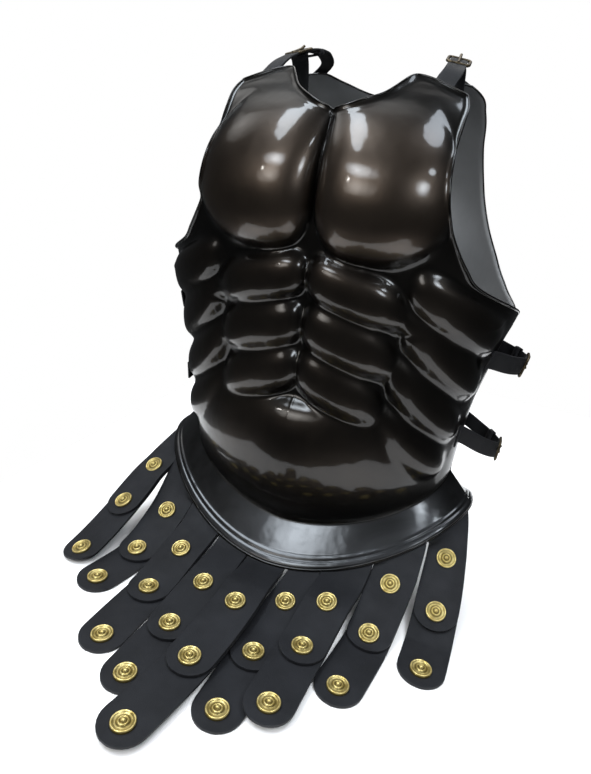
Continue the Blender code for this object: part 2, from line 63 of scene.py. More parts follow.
# -------- driving dimensions (millimetres)
TORSO_BACK = 130.4  # from the middle of the footprint back to the torso's axis
PLATE_THICK = 1.2  # steel sheet of both plates
SEAM_GAP = 2.5  # between the side edges of the two plates
STRAP_THICK = 2.5  # pteruge leather
STRAP_HALF = 21.5  # half of a pteruge's width
UPPER_REACH = 120  # rim to the tip of an upper pteruge
LOWER_REACH = 184  # rim to the tip of a lower pteruge
STUD_STEPS = (45, 101, 165)  # rim to the three studs of a strap
LAYER = 3.2  # height of one layer of leather with its gap
CONTACT_GAP = 0.45  # between touching pieces
HARNESS_THICK = 2.2  # leather of the shoulder and side straps
# Small steps in degrees, millimetres and share of a flange, to read a surface's directions
TURN_PROBE, LEVEL_PROBE, SHARE_PROBE = 0.2, 0.5, 0.01

# Torso sections. Each lies in a tilted plane between the side seam and the middle of a plate.
# columns: level = height at the middle, mid_y, side_x, side_y, side_z, square = superellipse power
FRONT_SECTIONS = (
    (56, -118, 152, -33, 121, 1.75),
    (130, -123, 155, -34, 160, 1.8),
    (208, -124, 162, -35, 215, 1.85),
    (265, -125, 173, -36, 265, 1.9),
    (310, -127, 184, -38, 306, 2.1),
    (360, -130, 186, -38, 350, 2.5),
    (410, -128, 178, -38, 395, 2.7),
    (454, -110, 165, -38, 430, 2.7),
    (480, -90, 152, -38, 450, 2.5),
    (497, -63, 138, -36, 468, 2.3),
    (503, -35, 125, -30, 480, 2.2),
)
BACK_SECTIONS = (
    (38, 84, 152, -33, 121, 2.2),
    (120, 84, 155, -34, 160, 2.2),
    (208, 84, 162, -35, 215, 2.2),
    (265, 92, 173, -36, 265, 2.2),
    (310, 100, 184, -38, 306, 2.3),
    (400, 106, 180, -38, 390, 2.6),
    (450, 98, 166, -38, 428, 2.7),
    (485, 76, 150, -36, 452, 2.5),
    (505, 45, 134, -30, 472, 2.3),
    (512, 10, 120, -20, 486, 2.2),
)
# Rims of the flanges: low = height at the middle, mid_y, side_x, side_y, side_z, square, rise power
FRONT_RIM = (22, -153, 181, -28, 86, 1.75, 2.1)
BACK_RIM = (0, 114, 181, -28, 86, 2.1, 3)

# Edge of a plate from the foot of the armhole to the outer shoulder: level, angle from the middle.
FRONT_ARMHOLE = (
    (303, 90), (327, 68), (342, 62.5), (371, 56), (400, 53), (430, 55), (457, 60.5), (482, 68.5),
)
BACK_ARMHOLE = (
    (290, 90), (303, 71), (318, 62), (342, 54), (370, 47), (405, 42), (448, 41), (477, 46),
    (505, 56),
)
# Top edge from the middle of the neckline over the neck corner to the outer shoulder:
# share of the way, angle, level
FRONT_TOP = ((0, 0, 454), (0.2, 12, 457.5), (0.45, 32, 471), (0.74, 58, 491.5), (1, 68.5, 482))
BACK_TOP = ((0, 0, 487), (0.22, 13, 489.5), (0.45, 29, 498), (0.75, 45, 505), (1, 56, 505))

SIDE_ANGLE = 90  # from the middle of a plate to its side seam
# Rows of the plates below the chest: middle level, drop at SLANT_ANGLE, level at the side seam
SLANT_ANGLE = 47
FRONT_ROWS = (
    (56, 0, 56), (78, 0, 78), (100, 4, 103), (126, 8, 127), (155, 14, 157), (182, 20, 187),
    (208, 30, 212), (231, 27, 236), (257, 23, 264), (273, 21, 280), (296, 20, 303),
)
BACK_ROWS = (
    (38, 0, 56), (60, 0, 78), (100, 0, 118), (150, 0, 164), (200, 0, 208), (250, 0, 252),
    (300, 0, 290),
)
# Flange with two beads. columns: share of the way from crease to rim, height over the cone
FLANGE_PROFILE = (
    (0.1, 0), (0.7, 0.6), (0.755, 1.7), (0.81, 0.8), (0.86, 2), (0.96, 2.1), (1, 0.2),
)

# Muscles of flanks and abdomen, each a pillow that overlaps the one below it like a shingle.
# columns: name, angle, level, half_angle, reach down, reach up, slope = level per degree, height
MUSCLES = (
    ("rectus_upper", 25, 304, 25.4, 21, 28, -0.44, 17),
    ("rectus_middle", 25, 256, 25.4, 21, 33, -0.5, 16.5),
    ("rectus_lower", 24, 208, 25.2, 20, 33, -0.64, 16),
    ("serratus_1", 66, 295, 17, 20, 27, -1.4, 12),
    ("serratus_2", 66.5, 250, 17, 21, 32, -1.9, 12),
    ("serratus_3", 64.5, 199, 17, 22, 34, -2.1, 12),
    ("serratus_4", 62.5, 147, 17, 23.5, 36, -2.2, 13),
)
# Powers of a pillow's outline on each side and of the dome over it
PILLOW = SimpleNamespace(across=3, lower=2.3, upper=2.5, dome=0.5)
# Chest muscle and belly. above and below = reach up and down, second lines = powers
PECTORAL = SimpleNamespace(angle=28, level=383, half_angle=27.5, above=86, below=49, height=28,
                           across=2.4, lower=2.2, upper=1.5, dome=0.55)
BELLY = SimpleNamespace(level=120, half_angle=80, above=76, below=62, height=24,
                        across=2, upper=2.2, upper_dome=0.6, lower=2, lower_dome=1.4)
# Groove of the spine, which fades in above its foot and out below its head, and shoulder blades
SPINE = SimpleNamespace(depth=7, half_angle=7, foot=60, head=470, fade=60)
BLADE = SimpleNamespace(height=9, angle=27, half_angle=15, level=395, half_level=48)

COLUMN_STEP = 0.6  # degrees between the grid columns of a plate
ROW_STEP = 2.1  # millimetres between its grid rows
SHOULDER_RISE = 30  # height over the neckline that adds rows for the shoulders
FLANGE_LENGTH = 49  # from crease to rim, for the number of its rows
FLANGE_STEP = 1.3  # between those rows
SOFT_PASSES = 3  # rounds of smoothing that give the embossing its fillets
BLUR = (1, 4, 6, 4, 1)  # weights of one round
LIP_RISE = 2.4  # the edge of the neck turns outward by this much
NECK_LIP = 5.5  # width of the turned edge at the neck
NECK_BEAD = SimpleNamespace(height=0.4, place=6.6, width=1.2)  # fine bead inside the neck's edge
ARM_LIP = 5  # width of the turned edge at an armhole
ARM_LIP_RISE = 0.8  # its rise as a share of the neck's
ARM_LIP_START = 0.06  # share of the armhole's height over which it rises
EDGE_ROLL = 1  # radius of the wire roll on neck and armholes
RIM_ROLL = 1.5  # and on the flanges' rims
ROLL_ROUNDNESS = 4  # steps round a quarter of such a wire
PLATE_SHARP = 60  # degrees between faces that make a sharp edge of a plate
WEAR = 0.2  # share of the patina that is rubbed off the flanges
PAINTED_SHEEN_HEIGHT = 18  # height of the embossing that gets the full painted sheen
PAINTED_SHEEN_LEVELS = ((300, 360), (0.25, 0.9))  # levels between which the painted sheen grows, and its shares


# -------- surface functions
def read_table(rows, at):
    """Smooth reading of every later column of a table whose first column rises."""
    table = np.asarray(rows, float)
    keys = table[:, 0]
    rise = np.diff(table, axis=0) / np.diff(keys)[:, None]
    slope = np.vstack([rise[:1], (rise[1:] + rise[:-1]) / 2, rise[-1:]])
    at = np.clip(np.asarray(at, float), keys[0], keys[-1])
    i = np.clip(np.searchsorted(keys, at, side="right") - 1, 0, len(keys) - 2)
    step = (keys[i + 1] - keys[i])[..., None]
    t = (at - keys[i])[..., None] / step
    value = ((2 * t**3 - 3 * t**2 + 1) * table[i] + (t**3 - 2 * t**2 + t) * step * slope[i]
             + (3 * t**2 - 2 * t**3) * table[i + 1] + (t**3 - t**2) * step * slope[i + 1])
    return value[..., 1:]


def unit(vectors):
    """Vectors scaled to a length of 1."""
    return vectors / np.linalg.norm(vectors, axis=-1, keepdims=True)


def smooth(share):
    """Ease from 0 to 1."""
    share = np.clip(share, 0, 1)
    return share * share * (3 - 2 * share)


def section_point(angle, level, mid_y, side_x, side_y, side_z, square):
    """Point of one tilted section, at an angle in degrees from the middle of the plate."""
    turn = np.radians(angle)
    depth = np.abs(mid_y - side_y)
    sine, cosine = np.sin(turn), np.cos(turn)
    reach = (np.abs(sine / side_x) ** square + np.abs(cosine / depth) ** square) ** (-1 / square)
    share = reach * cosine / depth
    y = side_y + (mid_y - side_y) * share
    return np.stack([reach * sine, y, side_z + (level - side_z) * share], -1)


def torso_point(sections, angle, level):
    """Point of the smooth torso, before any relief."""
    return section_point(angle, level, *np.moveaxis(read_table(sections, level), -1, 0))


def torso_normal(sections, angle, level):
    """Outward direction of the smooth torso."""
    def change(turn, rise):
        """Step across the point."""
        return (torso_point(sections, angle + turn, level + rise)
                - torso_point(sections, angle - turn, level - rise))

    outward = np.cross(change(TURN_PROBE, 0), change(0, LEVEL_PROBE))
    return -np.sign(sections[0][1]) * unit(outward)


def pillow(angle, level, middle, middle_level, half_angle, below, above, slope, height):
    """Height of one cushion-shaped muscle, zero at and beyond its outline."""
    across = np.abs(angle - middle) / half_angle
    along = level - middle_level - slope * (angle - middle)
    lower, upper = np.clip(-along / below, 0, 1), np.clip(along / above, 0, 1)
    room = 1 - across**PILLOW.across - lower**PILLOW.lower - upper**PILLOW.upper
    return height * np.clip(room, 0, 1) ** PILLOW.dome


def reach_share(level, muscle):
    """How far a level is on the way to a muscle's upper and lower ends."""
    rise = (level - muscle.level) / muscle.above
    drop = (muscle.level - level) / muscle.below
    return np.clip(rise, 0, 1), np.clip(drop, 0, 1)


def pectoral(angle, level):
    """Domed chest muscle: crisp and round below, fading to the shoulder above."""
    across = np.abs(angle - PECTORAL.angle) / PECTORAL.half_angle
    rise, drop = reach_share(level, PECTORAL)
    room = np.clip(1 - across**PECTORAL.across - drop**PECTORAL.lower, 0, 1)
    return PECTORAL.height * room**PECTORAL.dome * (1 - rise**PECTORAL.upper)


def belly(angle, level):
    """Broad swelling under the abdomen that fades out sideways and toward the waist."""
    across = np.clip(np.abs(angle) / BELLY.half_angle, 0, 1)
    rise, drop = reach_share(level, BELLY)
    upper = (1 - rise**BELLY.upper) ** BELLY.upper_dome
    lower = (1 - drop**BELLY.lower) ** BELLY.lower_dome
    return BELLY.height * (1 - across**BELLY.across) * upper * lower


def front_relief(angle, level):
    """Height of the embossing over the smooth torso of the breastplate."""
    pillows = [pillow(angle, level, *muscle) for _, *muscle in MUSCLES]
    return np.max([pectoral(angle, level), belly(angle, level), *pillows], axis=0)


def back_relief(angle, level):
    """Spine groove and shoulder blades of the backplate."""
    groove = -SPINE.depth * np.exp(-(angle / SPINE.half_angle) ** 2)
    for way in (level - SPINE.foot, SPINE.head - level):
        groove = groove * np.clip(way / SPINE.fade, 0, 1)
    across = (angle - BLADE.angle) / BLADE.half_angle
    along = (level - BLADE.level) / BLADE.half_level
    return groove + BLADE.height * np.exp(-across**2 - along**2)


def waist_grid(rows, mids, columns):
    """Angles and levels of the part of a plate below its armholes."""
    angle = columns[None, :] + np.zeros((len(mids), 1))
    drop, side = np.moveaxis(read_table(rows, mids), -1, 0)[:, :, None]
    slant = mids[:, None] - drop * np.minimum(angle / SLANT_ANGLE, 1)
    toward_side = smooth((angle - SLANT_ANGLE) / (SIDE_ANGLE - SLANT_ANGLE))
    return angle, slant + (side - slant) * toward_side


def chest_grid(armhole, top, bottom, shares):
    """Angles and levels between the waist grid's last row, the armhole and the neckline."""
    u = bottom[0] / SIDE_ANGLE
    t = shares[:, None]
    head = read_table(top, u).T
    armhole_level = armhole[0][0] + (armhole[-1][0] - armhole[0][0]) * shares
    right = np.stack([read_table(armhole, armhole_level)[:, 0], armhole_level])[:, :, None]
    left = np.stack([0 * shares, bottom[1, 0] + (head[1, 0] - bottom[1, 0]) * shares])[:, :, None]
    bottom, head = bottom[:, None, :], head[:, None, :]
    corners = ((1 - u) * (1 - t) * bottom[:, :, :1] + u * (1 - t) * bottom[:, :, -1:]
               + (1 - u) * t * head[:, :, :1] + u * t * head[:, :, -1:])
    patch = (1 - u) * left + u * right + (1 - t) * bottom + t * head - corners
    return patch[0], patch[1]


def rim_point(rim, angle):
    """Point of a flange's rim; its height follows the distance from the middle."""
    low, mid_y, side_x, side_y, side_z, square, rise = rim
    point = section_point(angle, low, mid_y, side_x, side_y, low, square)
    point[..., 2] = low + (side_z - low) * np.abs(point[..., 0] / side_x) ** rise
    return point


def flange_point(sections, rim, angle, share, proud):
    """Point of the flange, proud of the straight cone from crease to rim."""
    def cone(turn, part):
        """Point of the straight cone."""
        crease = torso_point(sections, turn, np.full(np.shape(turn), float(sections[0][0])))
        return crease + (rim_point(rim, turn) - crease) * np.asarray(part)[..., None]

    around = cone(angle + TURN_PROBE, share) - cone(angle - TURN_PROBE, share)
    down = cone(angle, share + SHARE_PROBE) - cone(angle, share)
    normal = unit(np.cross(around, down)) * -np.sign(sections[0][1])
    return cone(angle, share) - normal * np.asarray(proud)[..., None]


def run_length(points, axis):
    """Distance along a grid's lines from their first point."""
    steps = np.linalg.norm(np.diff(points, axis=axis), axis=-1)
    start = np.zeros_like(np.take(steps, [0], axis=axis))
    return np.concatenate([start, np.cumsum(steps, axis=axis)], axis=axis)


def turned_edge(points, shares):
    """Height of the lips along the neckline and the armhole of the chest patch."""
    to_top = run_length(points[::-1], 0)[::-1]
    to_arm = run_length(points[:, ::-1], 1)[:, ::-1]
    bead = np.exp(-((to_top - NECK_BEAD.place) / NECK_BEAD.width) ** 2)
    neck = LIP_RISE * np.clip(1 - to_top / NECK_LIP, 0, 1) ** 2 + NECK_BEAD.height * bead
    arm = ARM_LIP_RISE * LIP_RISE * np.clip(1 - to_arm / ARM_LIP, 0, 1) ** 2
    return np.maximum(neck, arm * smooth(shares / ARM_LIP_START)[:, None])


def soften(heights, passes):
    """Blurred height map; the first column is the middle of the plate."""
    weights = np.array(BLUR) / sum(BLUR)
    for _ in range(passes):
        for axis in (0, 1):
            heights = np.moveaxis(heights, axis, 0)
            mirrored = heights[2:0:-1] if axis else heights[[0, 0]]
            padded = np.concatenate([mirrored, heights, heights[[-1, -1]]])
            heights = sum(w * padded[i:i + len(heights)] for i, w in enumerate(weights))
            heights = np.moveaxis(heights, 0, axis)
    return heights


def odd_steps(length, step):
    """An odd number of stations about one step apart."""
    return 2 * round(length / step / 2) + 1


def plate_grid(sections, rim, rows, armhole, top, relief):
    """Outer surface and relief of a whole plate, rim to neckline, from side seam to side seam."""
    columns = np.linspace(0, SIDE_ANGLE, odd_steps(SIDE_ANGLE, COLUMN_STEP))
    foot, waist, neck = rows[0][0], rows[-1][0], top[0][2]
    mids = np.linspace(foot, waist, odd_steps(waist - foot, ROW_STEP))
    shares = np.linspace(0, 1, odd_steps(neck - waist + SHOULDER_RISE, ROW_STEP))[1:]
    angle, level = waist_grid(rows, mids, columns)
    chest_angle, chest_level = chest_grid(armhole, top, np.stack([angle[-1], level[-1]]), shares)
    angle, level = np.concatenate([angle, chest_angle]), np.concatenate([level, chest_level])
    height = soften(relief(angle, level), SOFT_PASSES)
    body = torso_point(sections, angle, level)
    lips = np.zeros_like(height)
    lips[len(mids):] = turned_edge(body[len(mids):], shares)
    body = body + torso_normal(sections, angle, level) * (height + lips)[..., None]
    stations = np.linspace(1, 0, odd_steps(FLANGE_LENGTH, FLANGE_STEP))[:-1]
    proud = np.interp(stations, *np.array(FLANGE_PROFILE).T)
    flange = np.array([flange_point(sections, rim, columns, *row) for row in zip(stations, proud)])
    half = np.concatenate([flange, body])
    half[:, 0, 0] = 0
    height = np.concatenate([np.zeros((len(flange), len(columns))), height])
    whole = np.concatenate([half[:, :0:-1] * (-1, 1, 1), half], axis=1)
    return whole, np.concatenate([height[:, :0:-1], height], axis=1), len(flange)


# -------- mesh helpers
def grid_normals(grid):
    """Directions square to a grid of points, to the left of its columns seen along its rows."""
    return unit(np.cross(np.gradient(grid, axis=1), np.gradient(grid, axis=0)))


def to_frame(points):
    """Torso millimetres to metres of the frame."""
    return (np.asarray(points, float) + (0, TORSO_BACK, 0)) * MM


def add_object(name, data):
    """New object in the scene."""
    added = bpy.data.objects.new(name, data)
    bpy.context.scene.collection.objects.link(added)
    return added


def add_piece(name, data, surfaces, stands_for=(), place=None):
    """Give a piece its materials and its place and let it ride on the body."""
    piece = add_object(name, data)
    for surface in surfaces:
        data.materials.append(surface)
    if place:
        piece.matrix_world = place
    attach(piece, BODY)
    if stands_for:
        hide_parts(*stands_for)
    return piece


def make_mesh(name, points, faces):
    """Smooth-shaded mesh."""
    mesh = bpy.data.meshes.new(name)
    mesh.from_pydata(points.tolist(), [], faces)
    mesh.shade_smooth()
    return mesh


def grid_index(rows, columns, start=0):
    """Numbers of a grid's points."""
    return np.arange(rows * columns).reshape(rows, columns) + start


def closed(index):
    """Grid numbers whose rows run on to their first point."""
    return np.concatenate([index, index[:, :1]], axis=1)


def grid_faces(index, flip=False):
    """Four-sided faces between the points of a grid."""
    corners = [index[:-1, :-1], index[:-1, 1:], index[1:, 1:], index[1:, :-1]]
    quads = np.stack(corners, -1).reshape(-1, 4)
    return (quads[:, ::-1] if flip else quads).tolist()


def border(index):
    """Indices round the edge of a grid, in one closed loop."""
    return np.concatenate([index[0], index[1:, -1], index[-1, -2::-1], index[-2:0:-1, 0]])


def shell_mesh(name, grid, thickness, flip):
    """Closed sheet: a fine outer face and an inner face on every second line of the grid."""
    normals = grid_normals(grid) * (-1 if flip else 1)
    inner = (grid - normals * thickness)[::2, ::2]
    points = np.concatenate([grid.reshape(-1, 3), inner.reshape(-1, 3)])
    outer_index = grid_index(*grid.shape[:2])
    inner_index = grid_index(*inner.shape[:2], start=outer_index.size)
    faces = grid_faces(outer_index, flip)
    inner_start = len(faces)
    faces += grid_faces(inner_index, not flip)
    rim_start = len(faces)
    fine, coarse = border(outer_index), border(inner_index)
    for k, (here, there) in enumerate(zip(coarse, np.roll(coarse, -1))):
        a, b, c = fine[2 * k], fine[2 * k + 1], fine[(2 * k + 2) % len(fine)]
        edge = [(a, here, b), (b, here, there), (b, there, c)]
        faces += [tri[::-1] if flip else tri for tri in edge]
    mesh = make_mesh(name, to_frame(points), faces)
    kinds = np.zeros(len(faces), np.int32)
    kinds[inner_start:rim_start] = 1
    mesh.polygons.foreach_set("material_index", kinds)
    mesh.set_sharp_from_angle(angle=math.radians(PLATE_SHARP))
    return mesh


def wire(name, paths, radius, roundness):
    """Curve of round wire. paths = rows of points in metres and whether each closes on itself."""
    curve = bpy.data.curves.new(name, "CURVE")
    curve.dimensions = "3D"
    curve.bevel_depth = radius * MM
    curve.bevel_resolution = roundness
    curve.use_fill_caps = True
    for points, cyclic in paths:
        spline = curve.splines.new("POLY")
        spline.points.add(len(points) - 1)
        spline.points.foreach_set("co", np.c_[points, np.ones(len(points))].ravel())
        spline.use_cyclic_u = cyclic
        spline.use_smooth = True
    return curve


def thicken(piece, thickness, offset):
    """Give a sheet its thickness. offset = side it grows to, from -1 inward to 1 outward."""
    solid = piece.modifiers.new("thickness", "SOLIDIFY")
    solid.thickness = thickness * MM
    solid.offset = offset


def rounded_box(half_x, half_y, corner, steps):
    """Points round a rectangle with rounded corners, in its own plane."""
    points = []
    for quarter, (x, y) in enumerate(((1, 1), (-1, 1), (-1, -1), (1, -1))):
        for angle in np.radians(np.linspace(0, 90, steps)) + quarter * math.pi / 2:
            points.append((x * (half_x - corner) + corner * math.cos(angle),
                           y * (half_y - corner) + corner * math.sin(angle), 0))
    return np.array(points)


# -------- pteruges
Pteruge = namedtuple(
    "Pteruge", "from_angle to_angle heading bend fall curl roll low high pull draw rise")
# One row per upper strap and the lower one beneath it, from the wearer's right to left.
# from_angle and to_angle = stretch of the rim, heading = plan direction from straight ahead,
# bend = turn over the length, fall = distance from rim to landing, curl = power of the fall,
# roll = tilt of the tip, low and high = layers of leather that the two lie on, pull = extra length
# drawn out, draw = how much more of the lower strap, rise = how much closer its top stud is.
PTERUGES = tuple(Pteruge(*row) for row in (
    (-88, -71.7, -5, 0, 180, 1.3, 10, 0, 1, 2, 5, 0),
    (-71.1, -49.3, 2.8, -18, 107, 1.52, 0, 0, 1, -4.3, -9.6, 0),
    (-48.7, -28.3, -6.5, 8.2, 99, 1.42, 0, 0, 1, 0.3, 3.6, 0),
    (-27.7, -10.3, -3, 1.7, 120, 1.55, 0, 0, 1, 12.9, -2.5, 0),
    (-9.7, 9.3, 1.6, -10.6, 150, 1.64, 0, 2, 3, 36.7, 10.5, 15.9),
    (11.7, 26.3, -4.5, 6, 90, 1.6, 0, 0, 1, 8, -1, 10),
    (27.8, 47.8, -7.1, 7.1, 105, 1.5, 0, 2, 3, 3.4, 1, 0),
    (48.7, 67.8, -3, -6, 105, 1.4, 0, 0, 1, -11, 3, 0),
    (68.3, 87.7, 8.1, -11.3, 127, 1.3, 0, 0, 1, -9, 3, 0),
))
ROOT_STATIONS = ((-10, 0.8), (-1, 0.98))  # tucked rows: place before the rim, flange share
ROOT_DEPTH = PLATE_THICK + CONTACT_GAP + STRAP_THICK  # flange's outside to the strap's underside
ACROSS = np.linspace(-1, 1, 9)  # points of one row of a strap
ENDS_AND_MIDDLE = np.array([-1, 0, 1])
PATH_POINTS = 190  # of the line that a strap follows
LEAST_ADVANCE = 0.05  # least squared share of a step that goes level
FIRST_STEP = 4  # distance of a strap's first open row from the foremost point of its rim
SETTLE = 45  # distance over which a strap spreads out from the rim to its own layer
STRAP_STEP = 3  # between the rows of a strap
ROOT_HALF = 22.5  # half of the widest root
ROOT_SLANT = 0.5  # share of the rim's run to the back that widens a root
TAPER = 85  # distance over which a root takes on the strap's own width
TIP_TURNS = np.radians((0, 12, 24, 36, 48, 58, 67, 75, 82))  # stations round the quarter of a tip
STRAP_EDGE = 0.7  # rounding of the leather's edges
STRAP_EDGE_STEPS = 3
STRAP_SHARP = 50  # degrees between faces that make such an edge


def strap_root(strap, across=ACROSS, share=1, depth=ROOT_DEPTH):
    """Points across a strap under the flange, on the rim unless a smaller share is given."""
    middle, half = (strap.from_angle + strap.to_angle) / 2, (strap.to_angle - strap.from_angle) / 2
    return flange_point(FRONT_SECTIONS, FRONT_RIM, middle + across * half, share, -depth)


def rim_lead(strap):
    """How far the foremost point of a strap's rim is ahead of its middle."""
    return np.ptp(strap_root(strap, ENDS_AND_MIDDLE)[:, 1]) / 2


def strap_axis(strap, along):
    """Points and travel directions of the line that both layers of a strap follow."""
    start = strap_root(strap, np.array([0]))[0]
    length = LOWER_REACH + strap.pull + strap.draw
    fine = np.linspace(0, length, PATH_POINTS)
    height = start[2] * (1 - np.clip(fine / strap.fall, 0, 1)) ** strap.curl
    dip = np.gradient(height, fine)
    level_step = np.sqrt(np.clip(1 - dip**2, LEAST_ADVANCE, 1))
    turn = np.radians(strap.heading + strap.bend * fine / LOWER_REACH)
    step = np.diff(fine, prepend=0)
    plan = level_step * np.array([np.sin(turn), -np.cos(turn)])
    x, y = start[:2, None] + np.cumsum(step * plan, axis=1)
    track, way = np.stack([x, y, height], -1), np.stack([*plan, dip], -1)
    return [np.stack([np.interp(along, fine, column) for column in part.T], -1)
            for part in (track, way)]


def strap_frames(strap, along, is_lower):
    """Middle points of a strap's underside with its sideways and upward directions."""
    track, way = strap_axis(strap, along)
    side = unit(np.stack([-way[:, 1], way[:, 0], 0 * way[:, 0]], -1))
    normal = unit(np.cross(way, side))
    first, last = (-1, strap.low) if is_lower else (0, strap.high)  # layers at the rim and beyond
    settled = smooth((along - rim_lead(strap)) / SETTLE)
    layer = first + (last - first) * settled
    tilt = -math.copysign(math.radians(strap.roll), strap.from_angle) * settled[:, None]
    track = track + normal * (LAYER * layer[:, None] + STRAP_HALF * np.abs(np.sin(tilt)))
    lean = side * np.cos(tilt) + normal * np.sin(tilt)
    return track, lean, np.cross(way, lean)


def strap_sheet(strap, is_lower):
    """Grid of points of one pteruge's underside: tucked root, rim, drape, rounded tip."""
    depth = ROOT_DEPTH + (LAYER if is_lower else 0)
    root = [strap_root(strap, share=share, depth=depth) for _, share in ROOT_STATIONS]
    root_x, root_y, _ = np.ptp(strap_root(strap, ENDS_AND_MIDDLE), axis=0)
    root_half = min(ROOT_HALF, math.hypot(root_x, root_y * ROOT_SLANT) / 2)
    first = rim_lead(strap) + FIRST_STEP
    reach = (LOWER_REACH + strap.draw if is_lower else UPPER_REACH) + strap.pull
    tip = reach - STRAP_HALF
    body = np.linspace(first, tip, round((tip - first) / STRAP_STEP))[:-1]
    along = np.concatenate([body, reach - STRAP_HALF * (1 - np.sin(TIP_TURNS))])
    half = np.concatenate([root_half + (STRAP_HALF - root_half) * smooth(body / TAPER),
                           STRAP_HALF * np.cos(TIP_TURNS)])
    track, lean, _ = strap_frames(strap, along, is_lower)
    rows = track[:, None, :] + lean[:, None, :] * (half[:, None] * ACROSS)[..., None]
    keys = np.array([place for place, _ in ROOT_STATIONS] + list(along))
    table = np.column_stack([keys, np.concatenate([root, rows]).reshape(len(keys), -1)])
    lead_in = np.arange(keys[0], first, STRAP_STEP)
    stations = np.concatenate([lead_in, along])
    return read_table(table, stations).reshape(len(stations), len(ACROSS), 3)


def stud_seat(strap, index):
    """Point and upward direction under a stud's base; the last stud sits on the lower strap."""
    middle = STUD_STEPS[index] + strap.pull + (-strap.rise, 0, strap.draw)[index]
    track, _, normal = strap_frames(strap, np.array([middle]), is_lower=index == 2)
    return track[0] + normal[0] * STRAP_THICK, normal[0]


# -------- shoulder and side straps
# Straps from the breastplate to the backplate, each on either side. front and back = rows on the
# plates, from the strap's end to the plate's edge: angle and level of one side, angle and level of
# the other, height over the plate. bow_left and bow_right = how far it bows out between the plates
# (x, y, z), x outward, spread = power of the bow, buckle = place of the buckle between the plates
Harness = namedtuple("Harness", "name front back bow_left bow_right spread buckle")
HARNESS = (
    Harness("shoulder_strap", ((57.5, 472, 61.5, 467, -2.2), (64, 490.5, 66.9, 486, -2.2)),
            ((40.5, 487, 46.5, 485.5, 2.8), (42.3, 498, 49, 497, 5.4),
             (44.2, 507, 51.5, 507, 6.6)),
            (9, -8, 15), (-5, 3, 17.5), 0.6, 0.375),
    Harness("side_strap_upper", ((80.5, 264, 80.5, 245, 6.2), (83, 266, 83, 246, 3)),
            ((60, 256, 60, 237, 2.7), (74, 262, 74, 243, 2.9)),
            (31, 0, -6), (16, 0, -3), 0.8, 0.5),
    Harness("side_strap_lower", ((79, 172, 79, 147, 8.4), (83, 170, 83, 145, 3.2)),
            ((60, 157, 60, 135, 2.7), (74, 161, 74, 139, 2.9)),
            (39, 0, -16), (16, 0, -3), 0.8, 0.5),
)
BRIDGE_STEPS = 9  # rows of a strap between the plates
STRAP_ROWS, STRAP_COLUMNS = 4, 5  # finer rows to one row of a strap, points across it
BUCKLE_LENGTH = 24  # along the strap
BUCKLE_OVERHANG = 3  # past each edge of the strap
BUCKLE_BAR = 3  # width of its bars and prong
BUCKLE_THICK = 2.6
BUCKLE_CORNER = 3.5  # radius of its corners
BAR_FILL = 0.85  # share of a bar's width that its round wire takes
BAR_ROUNDNESS = 3  # steps round a quarter of the wire
# columns: share of the buckle's half length, distance past that point, height over the frame
PRONG = ((-1, -0.8, 0.9), (-0.4, 0, 1), (0.5, 0, 1.6), (1, 0.8, 3.2))
KEEPER_ROWS = 2  # rows of the strap from the buckle to the leather loop behind it
KEEPER_WIDTH = 7
KEEPER_THICK = 1.6
KEEPER_ROOM = (1.6, 0.9)  # from the strap to the middle of the loop's leather
KEEPER_CORNER = 0.8
LOOSE_ENDS = ("shoulder_strap",)  # straps whose free end hangs inside, behind the buckle
LOOSE_END_FALL = ((-4, 0), (2, 3), (6, 12), (9, 24), (11, 36))  # back and down from the buckle
LOOSE_END_ROWS = 3
LAYER_GAP = 0.6  # between a free end and its strap


def plate_rows(sections, rows, shift):
    """Points across a strap where it lies on a plate."""
    angle_a, level_a, angle_b, level_b, height = np.array(rows, float).T
    angles, levels = np.stack([angle_a, angle_b], -1), np.stack([level_a, level_b], -1)
    lift = torso_normal(sections, angles, levels) * height[:, None, None]
    return torso_point(sections, angles, levels) + lift + np.array([0, shift, 0])


def harness_sheet(strap, bow):
    """Outer face of a strap on the wearer's left, in rows of two points from plate to plate."""
    front = plate_rows(FRONT_SECTIONS, strap.front, 0)
    back = plate_rows(BACK_SECTIONS, strap.back, SEAM_GAP)
    t = np.linspace(0, 1, BRIDGE_STEPS)[:, None, None]
    arch = (4 * t * (1 - t)) ** strap.spread
    span = front[-1] + (back[-1] - front[-1]) * t + np.array(bow) * arch
    return np.concatenate([front[:-1], span, back[-2::-1]])


def row_width(grid, row):
    """Width of a strap at one row."""
    return np.linalg.norm(grid[row][-1] - grid[row][0])


def grid_frame(grid, row, sign):
    """Middle point of a row with the strap's travel, sideways and outward directions."""
    way = grid[row + 1].mean(0) - grid[row - 1].mean(0)
    normal = np.cross(grid[row][-1] - grid[row][0], way) * sign
    side = np.cross(normal, way)
    return grid[row].mean(0), [axis / np.linalg.norm(axis) for axis in (way, side, normal)]


# -------- materials
MIX_COLOURS, MIX_RESULT = (6, 7), 2  # a Mix node's sockets in its colour mode
TARNISH = 0.3  # brightness of brass in its hollows, against its dull colour


